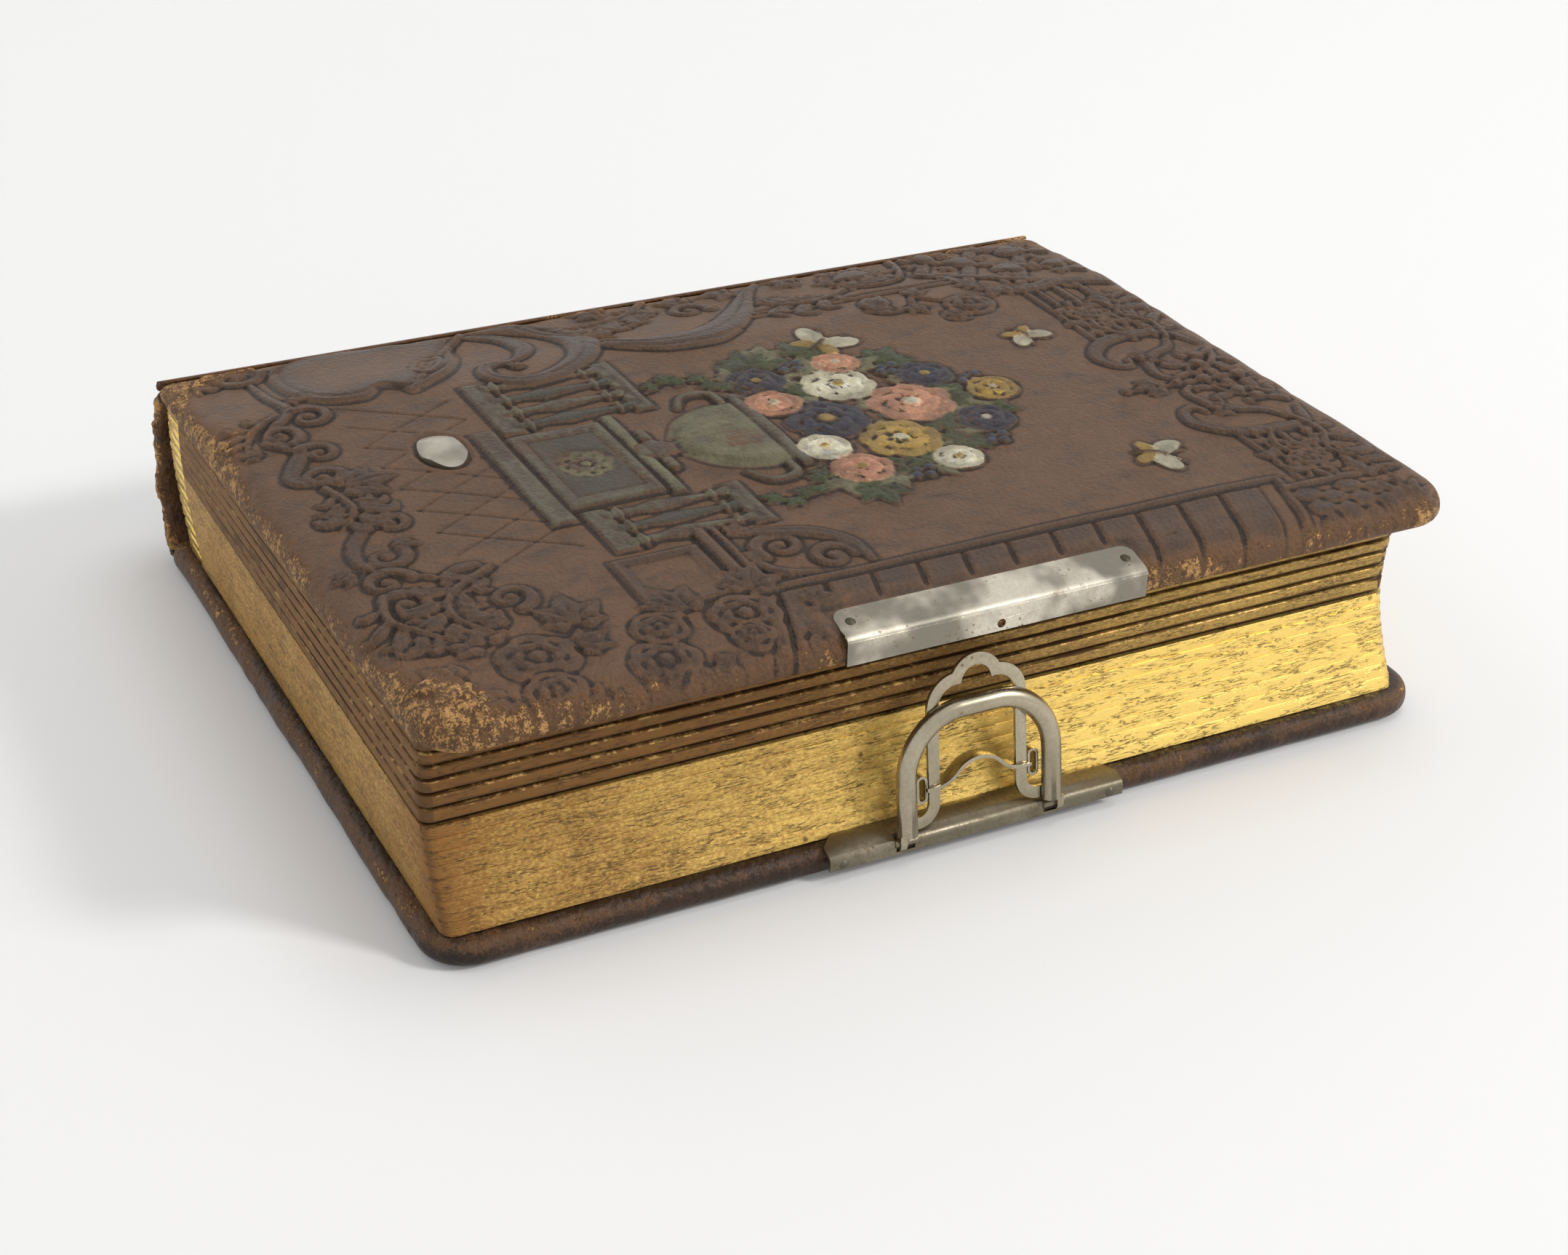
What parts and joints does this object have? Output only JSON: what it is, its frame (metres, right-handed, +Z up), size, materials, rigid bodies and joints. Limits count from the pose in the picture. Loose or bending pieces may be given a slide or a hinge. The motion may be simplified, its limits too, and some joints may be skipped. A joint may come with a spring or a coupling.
{
  "type": "postcard album",
  "caption": "Thick album with a padded leather front cover, bowed spine, windowed card leaves that fan open with it, and a sprung extension clasp.",
  "frame": {"origin": "centre of the back cover's underside", "axes": "+X from the spine to the fore edge with the clasp, +Y from tail to head, +Z up from the back cover to the front cover"},
  "size_m": [0.2164, 0.27, 0.0657],
  "materials": {
    "leather": "embossed dark brown, worn to tan at edges",
    "millboard": "raw stiff board",
    "wadding": "soft wadding",
    "paper": "matt pasted paper",
    "linen": "gilt and cream linen",
    "gilt_card": "cream card with gilt edges",
    "nickel": "dull nickel plate",
    "tin": "bright plate with rust spots"
  },
  "bodies": {
    "back_cover": {"back_board": "millboard", "back_leather": "leather", "back_pastedown": "paper", "spine_board": "millboard", "spine_leather": "leather", "spine_lining": "linen", "base_plate": "nickel", "base_plate_nails": "tin", "front_joint": "leather", "guard_01": "linen", "guard_02": "linen", "guard_03": "linen", "guard_04": "linen", "guard_05": "linen", "guard_06": "linen", "guard_07": "linen", "guard_08": "linen", "guard_09": "linen", "guard_10": "linen", "guard_11": "linen", "guard_12": "linen", "guard_13": "linen", "guard_14": "linen"},
    "front_cover": {"front_board": "millboard", "front_padding": "wadding", "front_leather": "leather", "front_pastedown": "paper", "catch_plate": "tin", "catch_plate_nails": "nickel", "oval_boss": "tin"},
    "hasp": {"hasp_loop": "nickel"},
    "slider": {"slider_frame": "nickel", "arch_spring": "nickel"},
    "leaf_01": {"leaf_01": "gilt_card"},
    "leaf_02": {"leaf_02": "gilt_card"},
    "leaf_03": {"leaf_03": "gilt_card"},
    "leaf_04": {"leaf_04": "gilt_card"},
    "leaf_05": {"leaf_05": "gilt_card"},
    "leaf_06": {"leaf_06": "gilt_card"},
    "leaf_07": {"leaf_07": "gilt_card"},
    "leaf_08": {"leaf_08": "gilt_card"},
    "leaf_09": {"leaf_09": "gilt_card"},
    "leaf_10": {"leaf_10": "gilt_card"},
    "leaf_11": {"leaf_11": "gilt_card"},
    "leaf_12": {"leaf_12": "gilt_card"},
    "leaf_13": {"leaf_13": "gilt_card"},
    "leaf_14": {"leaf_14": "gilt_card"}
  },
  "joints": [
    {"name": "cover_hinge", "type": "hinge", "parent": "back_cover", "child": "front_cover", "pos_m": [-0.104, 0, 0.0515], "axis": [0, -1, 0], "range_deg": [0, 180], "deforming": ["front_joint"]},
    {"name": "leaf_01_turn", "type": "hinge", "parent": "back_cover", "child": "leaf_01", "pos_m": [-0.09656, 0, 0.04858], "axis": [0, -1, 0], "range_deg": [0, 149], "deforming": ["guard_01"]},
    {"name": "leaf_02_turn", "type": "hinge", "parent": "back_cover", "child": "leaf_02", "pos_m": [-0.09739, 0, 0.04553], "axis": [0, -1, 0], "range_deg": [0, 116], "deforming": ["guard_02"]},
    {"name": "leaf_03_turn", "type": "hinge", "parent": "back_cover", "child": "leaf_03", "pos_m": [-0.09807, 0, 0.04247], "axis": [0, -1, 0], "range_deg": [0, 92], "deforming": ["guard_03"]},
    {"name": "leaf_04_turn", "type": "hinge", "parent": "back_cover", "child": "leaf_04", "pos_m": [-0.09856, 0, 0.03943], "axis": [0, -1, 0], "range_deg": [0, 75], "deforming": ["guard_04"]},
    {"name": "leaf_05_turn", "type": "hinge", "parent": "back_cover", "child": "leaf_05", "pos_m": [-0.09883, 0, 0.03637], "axis": [0, -1, 0], "range_deg": [0, 63.5], "deforming": ["guard_05"]},
    {"name": "leaf_06_turn", "type": "hinge", "parent": "back_cover", "child": "leaf_06", "pos_m": [-0.09887, 0, 0.03333], "axis": [0, -1, 0], "range_deg": [0, 55], "deforming": ["guard_06"]},
    {"name": "leaf_07_turn", "type": "hinge", "parent": "back_cover", "child": "leaf_07", "pos_m": [-0.09866, 0, 0.03027], "axis": [0, -1, 0], "range_deg": [0, 48], "deforming": ["guard_07"]},
    {"name": "leaf_08_turn", "type": "hinge", "parent": "back_cover", "child": "leaf_08", "pos_m": [-0.09821, 0, 0.02728], "axis": [0, -1, 0], "range_deg": [0, 42], "deforming": ["guard_08"]},
    {"name": "leaf_09_turn", "type": "hinge", "parent": "back_cover", "child": "leaf_09", "pos_m": [-0.09754, 0, 0.02428], "axis": [0, -1, 0], "range_deg": [0, 36], "deforming": ["guard_09"]},
    {"name": "leaf_10_turn", "type": "hinge", "parent": "back_cover", "child": "leaf_10", "pos_m": [-0.09666, 0, 0.02127], "axis": [0, -1, 0], "range_deg": [0, 30], "deforming": ["guard_10"]},
    {"name": "leaf_11_turn", "type": "hinge", "parent": "back_cover", "child": "leaf_11", "pos_m": [-0.09559, 0, 0.01827], "axis": [0, -1, 0], "range_deg": [0, 24], "deforming": ["guard_11"]},
    {"name": "leaf_12_turn", "type": "hinge", "parent": "back_cover", "child": "leaf_12", "pos_m": [-0.09437, 0, 0.01528], "axis": [0, -1, 0], "range_deg": [0, 18], "deforming": ["guard_12"]},
    {"name": "leaf_13_turn", "type": "hinge", "parent": "back_cover", "child": "leaf_13", "pos_m": [-0.09304, 0, 0.01227], "axis": [0, -1, 0], "range_deg": [0, 12], "deforming": ["guard_13"]},
    {"name": "leaf_14_turn", "type": "hinge", "parent": "back_cover", "child": "leaf_14", "pos_m": [-0.09165, 0, 0.00928], "axis": [0, -1, 0], "range_deg": [0, 6], "deforming": ["guard_14"]},
    {"name": "hasp_hinge", "type": "hinge", "parent": "back_cover", "child": "hasp", "pos_m": [0.1025, 0.0004, 0.006], "axis": [0, 1, 0], "range_deg": [0, 98]},
    {"name": "slider_slide", "type": "slide", "parent": "hasp", "child": "slider", "axis": [-0.184, 0, 0.9829], "range_m": [0, 0.007]}
  ],
  "couplings": [
    {"joint": "leaf_01_turn", "follows": "cover_hinge", "ratio": 0.82778},
    {"joint": "leaf_02_turn", "follows": "cover_hinge", "ratio": 0.64444},
    {"joint": "leaf_03_turn", "follows": "cover_hinge", "ratio": 0.51111},
    {"joint": "leaf_04_turn", "follows": "cover_hinge", "ratio": 0.41667},
    {"joint": "leaf_05_turn", "follows": "cover_hinge", "ratio": 0.35278},
    {"joint": "leaf_06_turn", "follows": "cover_hinge", "ratio": 0.30556},
    {"joint": "leaf_07_turn", "follows": "cover_hinge", "ratio": 0.26667},
    {"joint": "leaf_08_turn", "follows": "cover_hinge", "ratio": 0.23333},
    {"joint": "leaf_09_turn", "follows": "cover_hinge", "ratio": 0.2},
    {"joint": "leaf_10_turn", "follows": "cover_hinge", "ratio": 0.16667},
    {"joint": "leaf_11_turn", "follows": "cover_hinge", "ratio": 0.13333},
    {"joint": "leaf_12_turn", "follows": "cover_hinge", "ratio": 0.1},
    {"joint": "leaf_13_turn", "follows": "cover_hinge", "ratio": 0.066666},
    {"joint": "leaf_14_turn", "follows": "cover_hinge", "ratio": 0.033333}
  ]
}
